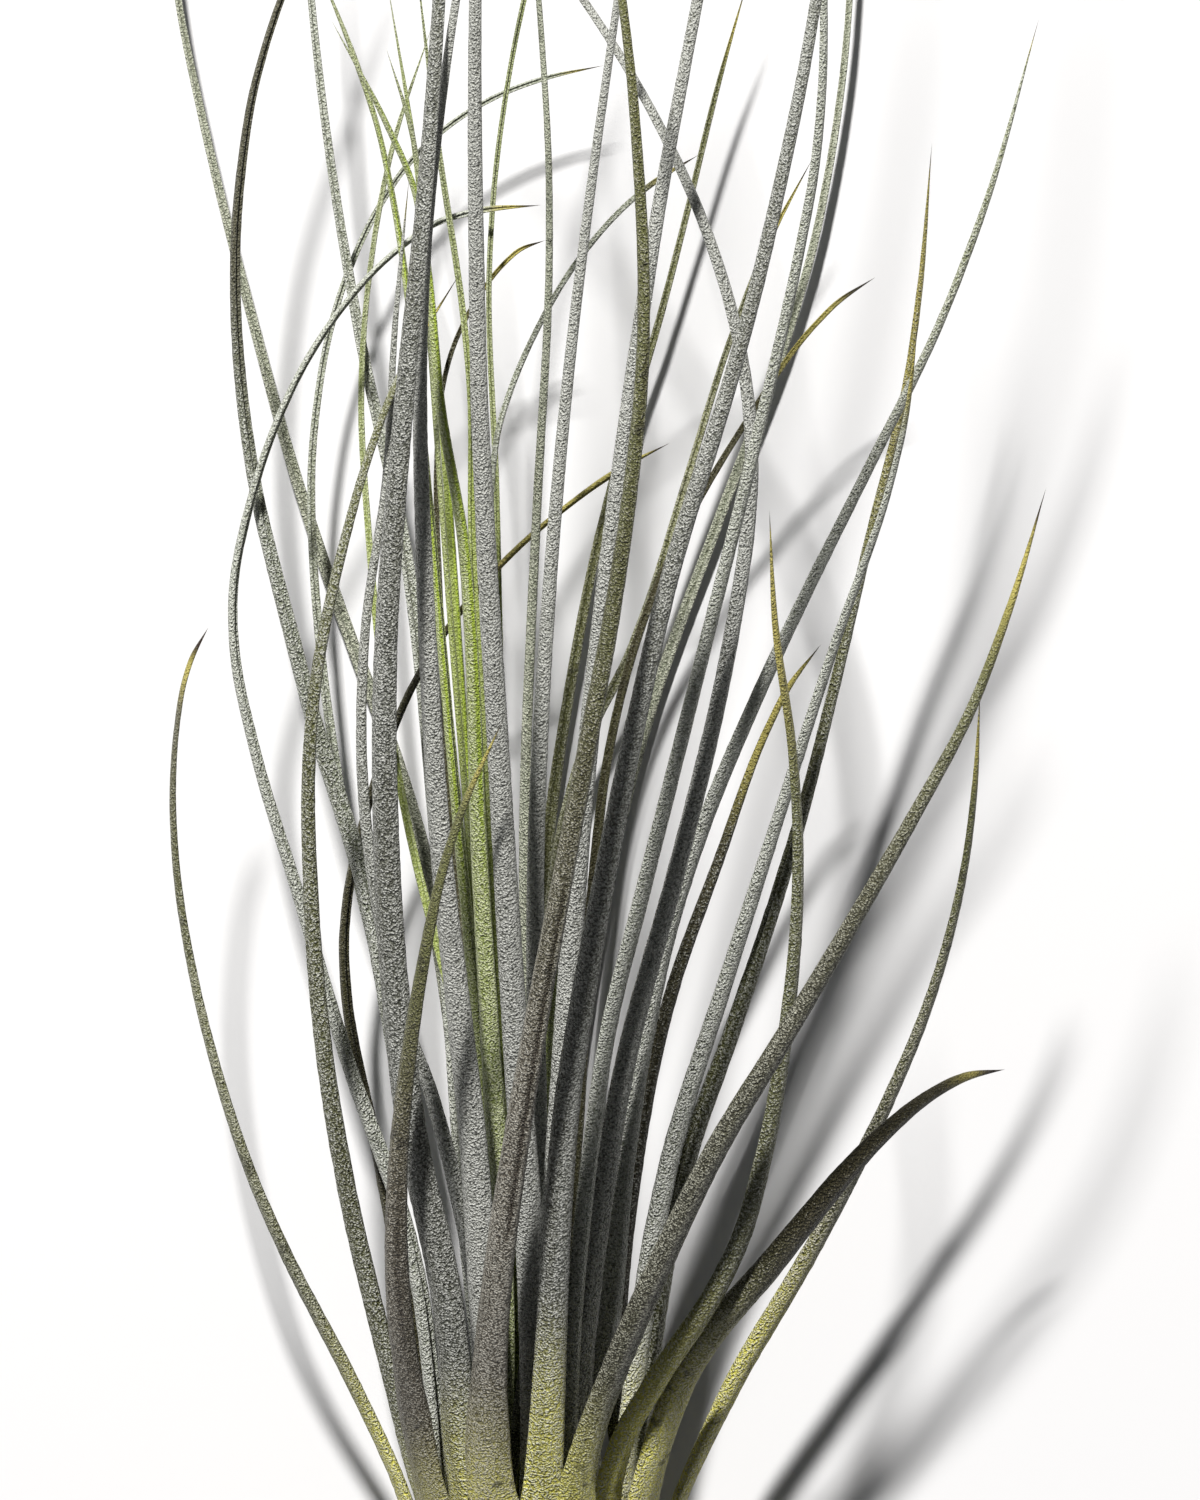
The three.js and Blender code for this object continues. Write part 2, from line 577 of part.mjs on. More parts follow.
function stemGeometry() {
  const cone = new THREE.LatheGeometry(stemProfile(), STEM_SIDES);
  let solid = toSolid(cone);
  for (const root of ROOTS) solid = solid.add(toSolid(rootGeometry(root)));
  const follow = new THREE.Matrix4().makeShear(0, 0, 0, AXIS_RISE, 0, 0);
  const raised = new THREE.Matrix4().makeTranslation(0, 0, axisHeight(0));
  return fromSolid(solid).applyMatrix4(follow).applyMatrix4(raised);
}

const plant = new THREE.Group();
plant.position.y = -BULB_MIDDLE;

function addPiece(name, geometry, color, roughness) {
  geometry.computeVertexNormals();
  const material = new THREE.MeshStandardMaterial({ color, roughness, metalness: 0 });
  const mesh = new THREE.Mesh(geometry, material);
  mesh.name = name;
  plant.add(mesh);
}

addPiece('stem', stemGeometry(), 0x5c4630, 0.9);

const leaves = [];
RINGS.forEach(({ leaves: list }, ring) => {
  list.forEach((_, index) => leaves.push({ index, ...placeLeaf(ring, index) }));
});
for (const leaf of leaves) addStations(leaf);
settle(leaves);
for (const leaf of leaves) {
  const { name, colour } = RINGS[leaf.ring];
  addPiece(`${name}_${String(leaf.index + 1).padStart(2, '0')}`, leafGeometry(leaf), colour, 0.8);
}

export default plant;
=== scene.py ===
"""Juncea air plant, as picked and laid on its side: its leaves, its bulb, its stem and its roots.

Every leaf is drawn again over its own solid, rounder and with its skin's relief, and takes that
solid's place. Tables are in millimetres, meshes in metres. +Y runs from the roots to the tips.
"""

import json
import math

import bpy
import numpy as np
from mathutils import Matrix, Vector


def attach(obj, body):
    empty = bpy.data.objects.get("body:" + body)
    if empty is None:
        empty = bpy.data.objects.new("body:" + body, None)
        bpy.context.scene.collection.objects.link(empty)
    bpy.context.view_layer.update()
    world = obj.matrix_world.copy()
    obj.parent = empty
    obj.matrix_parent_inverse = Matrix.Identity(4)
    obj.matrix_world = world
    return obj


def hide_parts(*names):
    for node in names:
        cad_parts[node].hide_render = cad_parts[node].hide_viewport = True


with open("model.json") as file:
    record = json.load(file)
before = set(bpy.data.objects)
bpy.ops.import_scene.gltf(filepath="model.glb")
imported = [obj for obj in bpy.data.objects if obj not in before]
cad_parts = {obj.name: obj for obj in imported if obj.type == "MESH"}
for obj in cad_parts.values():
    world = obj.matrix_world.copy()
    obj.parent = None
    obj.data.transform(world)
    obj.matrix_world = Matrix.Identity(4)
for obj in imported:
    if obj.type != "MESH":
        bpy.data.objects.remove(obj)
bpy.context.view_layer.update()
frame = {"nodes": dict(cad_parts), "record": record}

MM = 0.001

# Starts the random draws of the roots, and the lumps of each leaf
SEED = 7

# The bulb that the solids make: its middle line rises from the root end
BULB_AXIS_HEIGHT = 14.75
BULB_AXIS_RISE = math.tan(math.radians(12))
ROOT_END = -20

# How a leaf solid is read: eight points to a section, the third on the back of the leaf and the
# seventh at the bottom of its channel. Points closer than the weld are one, and the base is as flat
# as this, both in metres.
RING_POINTS = 8
BACK_POINT = 2
CHANNEL_POINT = 6
WELD = 1e-6
BASE_FLAT = 2e-5

# How finely a leaf is drawn
ROW_STEP = 0.8
AROUND_STEPS = 3
COLUMNS = RING_POINTS * AROUND_STEPS
CHANNEL_COLUMN = CHANNEL_POINT * AROUND_STEPS


def linear(*srgb):
    """A colour given as 0 to 255 on screen, as the shader's linear values."""
    values = [channel / 255 for channel in srgb]
    return [v / 12.92 if v <= 0.04045 else ((v + 0.055) / 1.055) ** 2.4 for v in values]


def smooth(low, high, values):
    """0 below low and 1 above high, with a soft turn at both ends."""
    share = np.clip((np.asarray(values, float) - low) / (high - low), 0, 1)
    return share * share * (3 - 2 * share)


def axis_height(y):
    """Height of the bulb's middle line over the floor, in millimetres."""
    return BULB_AXIS_HEIGHT + BULB_AXIS_RISE * y


# Camera, light and floor

# The picture's height at the distance of its centre, in millimetres. The sensor's size counts for
# the picture's long side.
VIEW_TALL = 214.3
VIEW_CENTRE = (8.6, 122.9, 50)
CAMERA_DISTANCE = 6000
SENSOR = 36

# From here on in metres and watts
CAMERA_REACH = 100
SKY_COLOUR = (0.93, 0.95, 1.0, 1)
SKY_STRENGTH = 0.09
LIGHT_DISTANCE = 3.4
KEY_LIGHT = {
    "direction": (-0.17, 0.59, 0.79), "size": 0.24, "watts": 236, "colour": (1.0, 0.985, 0.96),
}
FILL_LIGHT = {
    "direction": (-0.8, -0.3, 0.7), "size": 1.8, "watts": 6, "colour": (0.94, 0.97, 1.0),
}
FLOOR_HALF = 2.5
FLOOR_DROP = 0.0001
FLOOR_COLOUR = (0.6, 0.6, 0.61, 1)
FLOOR_ROUGHNESS = 0.9


def add_camera():
    """Straight above the plant, with the leaf tips up in the picture."""
    data = bpy.data.cameras.new("camera")
    data.sensor_width = SENSOR
    data.lens = SENSOR * CAMERA_DISTANCE / VIEW_TALL
    data.clip_end = CAMERA_REACH
    camera = bpy.data.objects.new("camera", data)
    bpy.context.scene.collection.objects.link(camera)
    camera.location = (Vector(VIEW_CENTRE) + Vector((0, 0, CAMERA_DISTANCE))) * MM
    bpy.context.scene.camera = camera


def add_light(name, direction, size, watts, colour):
    """A square soft box that looks at the plant from a direction."""
    data = bpy.data.lights.new(name, "AREA")
    data.size = size
    data.energy = watts
    data.color = colour
    light = bpy.data.objects.new(name, data)
    bpy.context.scene.collection.objects.link(light)
    away = Vector(direction).normalized()
    light.location = Vector(VIEW_CENTRE) * MM + away * LIGHT_DISTANCE
    light.rotation_euler = away.to_track_quat("Z", "Y").to_euler()


def add_studio():
    """A pale sky, one strong soft box beyond the tips and a weak one beside the plant."""
    world = bpy.data.worlds.new("studio")
    world.use_nodes = True
    background = world.node_tree.nodes["Background"]
    background.inputs["Color"].default_value = SKY_COLOUR
    background.inputs["Strength"].default_value = SKY_STRENGTH
    bpy.context.scene.world = world
    bpy.context.scene.view_settings.view_transform = "Standard"
    add_light("key", **KEY_LIGHT)
    add_light("fill", **FILL_LIGHT)


def add_floor():
    """A plain pale sheet, just under the plant."""
    mesh = bpy.data.meshes.new("floor")
    corners = [(-1, -1), (1, -1), (1, 1), (-1, 1)]
    points = [(x * FLOOR_HALF, y * FLOOR_HALF, 0) for x, y in corners]
    mesh.from_pydata(points, [], [(0, 1, 2, 3)])
    floor = bpy.data.objects.new("floor", mesh)
    floor.location.z = -FLOOR_DROP
    bpy.context.scene.collection.objects.link(floor)
    material = bpy.data.materials.new("pale floor")
    material.use_nodes = True
    shader = material.node_tree.nodes["Principled BSDF"]
    shader.inputs["Base Color"].default_value = FLOOR_COLOUR
    shader.inputs["Roughness"].default_value = FLOOR_ROUGHNESS
    mesh.materials.append(material)


# Shader groups and materials

class Nodes:
    """Adds nodes to a tree and joins them, so that each material reads as a short list."""

    def __init__(self, tree):
        self.tree = tree

    def add(self, kind, settings=None, **inputs):
        """A new node, with its settings and what goes into its sockets."""
        node = self.tree.nodes.new(kind)
        for name, value in (settings or {}).items():
            setattr(node, name, value)
        for name, value in inputs.items():
            self.feed(node, name.replace("_", " "), value)
        return node

    def feed(self, node, socket, value):
        """Puts a value or a link into a socket, by its name or as i0, i1 by its number."""
        numbered = socket[0] == "i" and socket[1:].isdigit()
        self.put(node.inputs[int(socket[1:]) if numbered else socket], value)

    def put(self, target, value):
        """Joins another node's output to an input, or sets the input's own value."""
        if isinstance(value, bpy.types.NodeSocket):
            self.tree.links.new(value, target)
        else:
            target.default_value = value

    def math(self, operation, a, b=0.0):
        """The result of one sum."""
        return self.add("ShaderNodeMath", {"operation": operation}, i0=a, i1=b).outputs[0]

    def mix(self, share, a, b, blend="MIX"):
        """Colour a with a share of colour b over it."""
        node = self.tree.nodes.new("ShaderNodeMix")
        node.data_type = "RGBA"
        node.blend_type = blend
        for socket, value in (("Factor_Float", share), ("A_Color", a), ("B_Color", b)):
            self.put(next(s for s in node.inputs if s.identifier == socket), value)
        return next(s for s in node.outputs if s.identifier == "Result_Color")

    def ramp(self, value, low, high):
        """0 at low and 1 at high, with a soft turn at both ends. Low may be the greater one."""
        node = self.add("ShaderNodeMapRange", {"interpolation_type": "SMOOTHSTEP"},
                        Value=value, From_Min=low, From_Max=high)
        return node.outputs["Result"]


def new_tree(kind, name, inputs, outputs):
    """An empty group of nodes with its named inputs and outputs."""
    tree = bpy.data.node_groups.new(name, kind)
    for label, socket_type, value in inputs:
        socket = tree.interface.new_socket(label, in_out="INPUT", socket_type=socket_type)
        if value is not None:
            socket.default_value = value
    for label, socket_type in outputs:
        tree.interface.new_socket(label, in_out="OUTPUT", socket_type=socket_type)
    return tree, tree.nodes.new("NodeGroupInput"), tree.nodes.new("NodeGroupOutput")


# The crust's height, 0 to 1: part winding grain and part round pebbles
WINDING_SHARE = 0.65
PEBBLE_SHARE = 0.35
PEBBLES_PER_GRAIN = 1.1
WINDING_NOISE = {"Detail": 2.0, "Roughness": 0.6, "Distortion": 0.5}

# Scales lie where the crust is higher than this. Full cover lowers that height, and the skin's
# streaks raise and lower it; the edge is how softly a scale ends.
BARE_HEIGHT = 0.77
COVER_LOWERS = 0.5
STREAK_RAISES = 0.3
SCALE_EDGE = 0.16
STREAK_NOISE = {"Scale": 1.0, "Detail": 3.0, "Roughness": 0.6}
NOISE_MIDDLE = 0.5

# Few bare dark spots
SPOT_NOISE = {"Scale": 260.0, "Detail": 3.0, "Roughness": 0.65}
SPOT_FROM = 0.6
SPOT_TO = 0.68
SPOT_COLOUR = linear(38, 36, 24)


def scale_group():
    """The crust of tiny pale scales: where they lie, how high they stand, streaks and spots."""
    group, given, result = new_tree(
        "ShaderNodeTree", "leaf scales",
        [("Position", "NodeSocketVector", None), ("Grain", "NodeSocketVector", None),
         ("Grains per metre", "NodeSocketFloat", 2400), ("Cover", "NodeSocketFloat", 0.5),
         ("Edge", "NodeSocketFloat", 0.1)],
        [("Scales", "NodeSocketFloat"), ("Height", "NodeSocketFloat"),
         ("Streak", "NodeSocketFloat"), ("Spots", "NodeSocketFloat")])
    nodes = Nodes(group)
    place = given.outputs["Position"]
    grains = given.outputs["Grains per metre"]
    winding = nodes.add("ShaderNodeTexNoise", Vector=place, Scale=grains, **WINDING_NOISE)
    pebble = nodes.add("ShaderNodeTexVoronoi", Vector=place,
                       Scale=nodes.math("MULTIPLY", grains, PEBBLES_PER_GRAIN))
    dome = nodes.math("SUBTRACT", 1.0, pebble.outputs["Distance"])
    height = nodes.math("ADD", nodes.math("MULTIPLY", winding.outputs["Fac"], WINDING_SHARE),
                        nodes.math("MULTIPLY", dome, PEBBLE_SHARE))
    streak = nodes.add("ShaderNodeTexNoise", Vector=given.outputs["Grain"], **STREAK_NOISE)
    streaked = nodes.math("SUBTRACT", streak.outputs["Fac"], NOISE_MIDDLE)
    thinned = nodes.math("MULTIPLY", streaked, STREAK_RAISES)
    covered = nodes.math("MULTIPLY", given.outputs["Cover"], COVER_LOWERS)
    middle = nodes.math("SUBTRACT", BARE_HEIGHT, nodes.math("SUBTRACT", covered, thinned))
    low = nodes.math("SUBTRACT", middle, given.outputs["Edge"])
    high = nodes.math("ADD", middle, given.outputs["Edge"])
    spot = nodes.add("ShaderNodeTexNoise", Vector=place, **SPOT_NOISE)
    nodes.feed(result, "Scales", nodes.ramp(height, low, high))
    nodes.feed(result, "Height", height)
    nodes.feed(result, "Streak", streak.outputs["Fac"])
    nodes.feed(result, "Spots", nodes.ramp(spot.outputs["Fac"], SPOT_FROM, SPOT_TO))
    return group


# How much of the skin's colour shows through the scales, on a leaf's thick and thin parts
SHOWS_THICK = 0.24
SHOWS_THIN = 0.72

# Streaks of the darker tint on the bare skin, and the crust heights where the painted shade in a
# pit between the scales starts and is full
STREAK_FROM = 0.42
STREAK_TO = 0.72
STREAK_STRENGTH = 0.5
PIT_SHADE_FROM = 0.6
PIT_SHADE_FULL = 0.36
SCALES_ROUGHER = 0.2
LEAF_SPECULAR = 0.4

# Each leaf finish: the colour of its scales, the tint of its streaks, how many grains to a metre,
# how pale the painted shade in the pits between the scales stays (tinted by the skin, as painted
# bounced light) and how deep the pits are in the bump, how rough the bare skin is, and how dark its
# few spots are
LEAF_FINISHES = {
    "silver_leaf": {
        "scale_colour": linear(229, 230, 225), "tint": linear(94, 92, 70), "grains": 2600,
        "pit_shade_pale": 0.4, "depth": 2.6 * MM, "roughness": 0.5, "spots": 0.2},
    "olive_leaf": {
        "scale_colour": linear(214, 214, 197), "tint": linear(84, 84, 50), "grains": 2750,
        "pit_shade_pale": 0.42, "depth": 2.4 * MM, "roughness": 0.5, "spots": 0.45},
    "brown_leaf": {
        "scale_colour": linear(214, 211, 200), "tint": linear(76, 70, 50), "grains": 2700,
        "pit_shade_pale": 0.4, "depth": 2.6 * MM, "roughness": 0.5, "spots": 0.6},
    "green_leaf": {
        "scale_colour": linear(220, 224, 194), "tint": linear(118, 132, 54), "grains": 2900,
        "pit_shade_pale": 0.5, "depth": 1.7 * MM, "roughness": 0.45, "spots": 0.25},
}
WHITE = (1, 1, 1, 1)


def leaf_material(name, scales, scale_colour, tint, grains, pit_shade_pale, depth, roughness, spots):
    """Leaf skin under pale scales. The skin's colour and the scales' cover come with the mesh."""
    material = bpy.data.materials.new(name)
    material.use_nodes = True
    nodes = Nodes(material.node_tree)
    shader = material.node_tree.nodes["Principled BSDF"]
    place = nodes.add("ShaderNodeTexCoord").outputs["Object"]
    skin = nodes.add("ShaderNodeAttribute", {"attribute_name": "skin"})
    cover = nodes.add("ShaderNodeAttribute", {"attribute_name": "cover"})
    grain = nodes.add("ShaderNodeAttribute", {"attribute_name": "grain"})
    relief = nodes.add("ShaderNodeAttribute", {"attribute_name": "relief"}).outputs["Fac"]
    crust = nodes.add("ShaderNodeGroup", {"node_tree": scales}, Position=place,
                      Grain=grain.outputs["Vector"], Grains_per_metre=grains,
                      Cover=cover.outputs["Fac"], Edge=SCALE_EDGE)
    streak = nodes.ramp(crust.outputs["Streak"], STREAK_FROM, STREAK_TO)
    streaked = nodes.math("MULTIPLY", streak, STREAK_STRENGTH)
    tinted = nodes.mix(streaked, skin.outputs["Color"], (*tint, 1))
    hides = nodes.math("MULTIPLY", relief, SHOWS_THIN - SHOWS_THICK)
    through = nodes.math("SUBTRACT", SHOWS_THIN, hides)
    pale = nodes.mix(through, (*scale_colour, 1), skin.outputs["Color"])
    flecked = nodes.mix(crust.outputs["Scales"], tinted, pale)
    # Painted shade: the colour darkens where the crust is low, in the hollows between the scales,
    # towards the skin's own colour made paler; thin parts of a leaf, with less relief, have less of
    # it
    hollow = nodes.ramp(crust.outputs["Height"], PIT_SHADE_FROM, PIT_SHADE_FULL)
    pit_shade_colour = nodes.mix(pit_shade_pale, skin.outputs["Color"], WHITE)
    shade = nodes.mix(nodes.math("MULTIPLY", hollow, relief), WHITE, pit_shade_colour)
    pit_shaded = nodes.mix(1.0, flecked, shade, "MULTIPLY")
    spot = nodes.math("MULTIPLY", crust.outputs["Spots"], spots)
    nodes.feed(shader, "Base Color", nodes.mix(spot, pit_shaded, (*SPOT_COLOUR, 1)))
    rougher = nodes.math("MULTIPLY", crust.outputs["Scales"], SCALES_ROUGHER)
    nodes.feed(shader, "Roughness", nodes.math("ADD", rougher, roughness))
    height = nodes.math("MULTIPLY", crust.outputs["Height"], relief)
    bump = nodes.add("ShaderNodeBump", Height=height, Distance=depth)
    nodes.feed(shader, "Normal", bump.outputs["Normal"])
    shader.inputs["Specular IOR Level"].default_value = LEAF_SPECULAR
    return material


WOOD_DARK = linear(56, 40, 28)
WOOD_PALE = linear(128, 98, 68)
WOOD_NOISE = {"Scale": 900.0, "Detail": 4.0, "Roughness": 0.65}
WOOD_DARK_TO = 0.35
WOOD_PALE_FROM = 0.65
WOOD_DEPTH = 0.6 * MM
WOOD_ROUGHNESS = 0.85


def wood_material():
    """Dry brown wood with darker cracks, for the stem and its roots."""
    material = bpy.data.materials.new("dry stem")
    material.use_nodes = True
    nodes = Nodes(material.node_tree)
    shader = material.node_tree.nodes["Principled BSDF"]
    place = nodes.add("ShaderNodeTexCoord").outputs["Object"]
    bark = nodes.add("ShaderNodeTexNoise", Vector=place, **WOOD_NOISE).outputs["Fac"]
    worn = nodes.ramp(bark, WOOD_DARK_TO, WOOD_PALE_FROM)
    nodes.feed(shader, "Base Color", nodes.mix(worn, (*WOOD_DARK, 1), (*WOOD_PALE, 1)))
    bump = nodes.add("ShaderNodeBump", Height=bark, Distance=WOOD_DEPTH)
    nodes.feed(shader, "Normal", bump.outputs["Normal"])
    shader.inputs["Roughness"].default_value = WOOD_ROUGHNESS
    return material


# Geometry Nodes trees

# Noise seldom strays more than a quarter from its middle, and four times that fills a height
NOISE_GAIN = 4.0


def shape_tree(name, inputs):
    """An empty tree that takes a geometry, its named sizes and a material, and gives a geometry."""
    geometry = ("Geometry", "NodeSocketGeometry")
    material = ("Material", "NodeSocketMaterial", None)
    return new_tree("GeometryNodeTree", name, [(*geometry, None), *inputs, material], [geometry])


def end_tree(nodes, geometry, given, result):
    """Every tree ends by making its instances real and giving them their material."""
    real = nodes.add("GeometryNodeRealizeInstances", Geometry=geometry)
    painted = nodes.add("GeometryNodeSetMaterial", Geometry=real.outputs[0],
                        Material=given.outputs["Material"])
    nodes.feed(result, "Geometry", painted.outputs[0])


def lump_rise(nodes, given):
    """How far each point is lifted by lumps of the tree's own size, height and seed."""
    place = nodes.add("GeometryNodeInputPosition").outputs[0]
    scale = nodes.math("DIVIDE", 1.0, given.outputs["Lump size"])
    noise = nodes.add("ShaderNodeTexNoise", {"noise_dimensions": "4D"}, Vector=place,
                      W=given.outputs["Seed"], Scale=scale, Detail=1.0)
    centred = nodes.math("SUBTRACT", noise.outputs["Fac"], NOISE_MIDDLE)
    reach = nodes.math("MULTIPLY", given.outputs["Lump height"], NOISE_GAIN)
    return nodes.math("MULTIPLY", centred, reach)


def raised(nodes, geometry, rise):
    """The geometry moved along its normals, and shaded smooth."""
    normal = nodes.add("GeometryNodeInputNormal").outputs[0]
    offset = nodes.add("ShaderNodeVectorMath", {"operation": "SCALE"}, i0=normal, Scale=rise)
    moved = nodes.add("GeometryNodeSetPosition", Geometry=geometry, Offset=offset.outputs[0])
    return nodes.add("GeometryNodeSetShadeSmooth", Geometry=moved.outputs[0]).outputs[0]


def named_float(nodes, name):
    """A float that the seed mesh carries on each of its points."""
    node = nodes.add("GeometryNodeInputNamedAttribute", {"data_type": "FLOAT"}, Name=name)
    return node.outputs["Attribute"]


def skin_tree():
    """Raises a leaf's skin in low lumps and fine lengthwise veins."""
    tree, given, result = shape_tree("leaf skin", [
        ("Lump size", "NodeSocketFloat", 1.3 * MM), ("Lump height", "NodeSocketFloat", 0.06 * MM),
        ("Veins", "NodeSocketFloat", 9.0), ("Vein height", "NodeSocketFloat", 0.03 * MM),
        ("Seed", "NodeSocketFloat", 0.0)])
    nodes = Nodes(tree)
    lump = lump_rise(nodes, given)
    turn = nodes.math("MULTIPLY", named_float(nodes, "around"), math.tau)
    wave = nodes.math("SINE", nodes.math("MULTIPLY", turn, given.outputs["Veins"]))
    vein = nodes.math("MULTIPLY", wave, given.outputs["Vein height"])
    rise = nodes.math("MULTIPLY", nodes.math("ADD", lump, vein), named_float(nodes, "full"))
    end_tree(nodes, raised(nodes, given.outputs["Geometry"], rise), given, result)
    return tree


def bark_tree():
    """Raises the stem's end in rough lumps."""
    tree, given, result = shape_tree("stem bark", [
        ("Lump size", "NodeSocketFloat", 2.2 * MM), ("Lump height", "NodeSocketFloat", 0.45 * MM),
        ("Seed", "NodeSocketFloat", 3.0)])
    nodes = Nodes(tree)
    rise = lump_rise(nodes, given)
    end_tree(nodes, raised(nodes, given.outputs["Geometry"], rise), given, result)
    return tree


def root_tree():
    """Draws a wiry tube along each line of a seed mesh, as thick as the line's own value says."""
    tree, given, result = shape_tree("wiry roots", [
        ("Sides", "NodeSocketInt", 10), ("Lump size", "NodeSocketFloat", 0.9 * MM),
        ("Lump height", "NodeSocketFloat", 0.07 * MM), ("Seed", "NodeSocketFloat", 5.0)])
    nodes = Nodes(tree)
    line = nodes.add("GeometryNodeMeshToCurve", Mesh=given.outputs["Geometry"]).outputs[0]
    section = nodes.add("GeometryNodeCurvePrimitiveCircle",
                        Resolution=given.outputs["Sides"], Radius=1.0).outputs[0]
    tube = nodes.add("GeometryNodeCurveToMesh", Curve=line, Profile_Curve=section,
                     Scale=named_float(nodes, "thick"), Fill_Caps=True).outputs[0]
    end_tree(nodes, raised(nodes, tube, lump_rise(nodes, given)), given, result)
    return tree


def grown(name, mesh, tree, values):
    """The plain mesh that a tree makes of a mesh, as an object of its own."""
    seed = bpy.data.objects.new(name + " seed", mesh)
    bpy.context.scene.collection.objects.link(seed)
    modifier = seed.modifiers.new("grow", "NODES")
    modifier.node_group = tree
    items = tree.interface.items_tree
    sockets = {item.name: item.identifier for item in items if item.in_out == "INPUT"}
    for label, value in values.items():
        modifier[sockets[label]] = value
    bpy.context.view_layer.update()
    graph = bpy.context.evaluated_depsgraph_get()
    made = bpy.data.meshes.new_from_object(
        seed.evaluated_get(graph), preserve_all_data_layers=True, depsgraph=graph)
    made.name = name
    seed.modifiers.remove(modifier)
    bpy.data.objects.remove(seed)
    piece = bpy.data.objects.new(name, made)
    bpy.context.scene.collection.objects.link(piece)
    return piece


# Reading a leaf solid

def welded(mesh):
    """The mesh's points with doubles merged, and its triangles as numbers of those points."""
    mesh.calc_loop_triangles()
    points = np.empty(len(mesh.vertices) * 3, np.float32)
    mesh.vertices.foreach_get("co", points)
    corners = np.empty(len(mesh.loop_triangles) * 3, np.int32)
    mesh.loop_triangles.foreach_get("vertices", corners)
    points = points.reshape(-1, 3).astype(float)
    _, first, merged = np.unique(
        np.round(points / WELD), axis=0, return_index=True, return_inverse=True)
    return points[first], merged.reshape(-1)[corners].reshape(-1, 3)


def levels(points, triangles):
    """A leaf solid's points from its flat base to its tip, one level for each section."""
    near = [set() for _ in points]
    for corners in triangles:
        for corner in corners:
            near[corner].update(corners)
    level = set(np.flatnonzero(points[:, 1] < points[:, 1].min() + BASE_FLAT))
    seen = set()
    found = []
    while level:
        found.append(points[sorted(level)])
        seen |= level
        level = set().union(*(near[i] for i in level)) - seen
    return found


def turned(ring, before):
    """The ring's points, started so that they follow on from those of the ring before."""
    spread = ring - ring.mean(0)
    past = before - before.mean(0)
    misses = [np.square(np.roll(spread, -start, 0) - past).sum() for start in range(RING_POINTS)]
    return np.roll(ring, -int(np.argmin(misses)), 0)


def hollow_point(ring, along):
    """Which point of a ring lies in its hollow."""
    ahead = np.roll(ring, -1, 0) - ring
    behind = ring - np.roll(ring, 1, 0)
    return int(np.argmin(np.cross(behind, ahead) @ along))


def leaf_rings(node):
    """A leaf's sections in order, each with its points in the same order, and its tip."""
    found = levels(*welded(node.data))
    tip = found[-1][0]
    middles = np.array([ring.mean(0) for ring in found[:-1]] + [tip])
    ways = np.gradient(middles, axis=0)
    ways /= np.linalg.norm(ways, axis=1)[:, None]
    side = np.array([1.0, 0.0, 0.0])
    rings = []
    for ring, way in zip(found[:-1], ways):
        side = side - way * (side @ way)
        side /= np.linalg.norm(side)
        spread = ring - ring.mean(0)
        angle = np.arctan2(spread @ np.cross(way, side), spread @ side)
        ring = ring[np.argsort(angle)]
        rings.append(turned(ring, rings[-1]) if rings else ring)
    middle = len(rings) // 2
    shift = hollow_point(rings[middle], ways[middle]) - CHANNEL_POINT
    return np.array([np.roll(ring, -shift, 0) for ring in rings]), tip


# Drawing a leaf

def round_weights():
    """How far each fine column round a section follows each of the section's eight points.

    Between two points the column runs on a smooth curve through them and their two neighbours.
    """
    weights = np.zeros((COLUMNS, RING_POINTS))
    for point in range(RING_POINTS):
        for step in range(AROUND_STEPS):
            t = step / AROUND_STEPS
            shares = ((-t + 2 * t**2 - t**3) / 2, (2 - 5 * t**2 + 3 * t**3) / 2,
                      (t + 4 * t**2 - 3 * t**3) / 2, (-t**2 + t**3) / 2)
            for near, share in zip((-1, 0, 1, 2), shares):
                weights[point * AROUND_STEPS + step, (point + near) % RING_POINTS] += share
    return weights


def flowing(knots, values, at):
    """A smooth curve through the values at the knots, read at many places."""
    slopes = np.gradient(values, knots, axis=0)
    k = np.clip(np.searchsorted(knots, at, side="right") - 1, 0, len(knots) - 2)
    span = (knots[k + 1] - knots[k])[:, None, None]
    t = ((at - knots[k])[:, None, None]) / span
    return ((2 * t**3 - 3 * t**2 + 1) * values[k] + (t**3 - 2 * t**2 + t) * span * slopes[k]
            + (-2 * t**3 + 3 * t**2) * values[k + 1] + (t**3 - t**2) * span * slopes[k + 1])


def leaf_grid(node):
    """A leaf's skin as rows of points, its tip, and how far each row is from base and tip."""
    rings, tip = leaf_rings(node)
    closed = np.concatenate([rings, np.repeat(tip[None, None], RING_POINTS, 1)])
    middles = closed.mean(1)
    knots = np.concatenate([[0], np.cumsum(np.linalg.norm(np.diff(middles, axis=0), axis=1))])
    rows = int(knots[-1] / (ROW_STEP * MM))
    at = np.linspace(0, knots[-1], rows + 1)[:-1]
    skin = np.einsum("cp,rpx->rcx", round_weights(), flowing(knots, closed, at))
    return skin, tip, at, knots[-1] - at


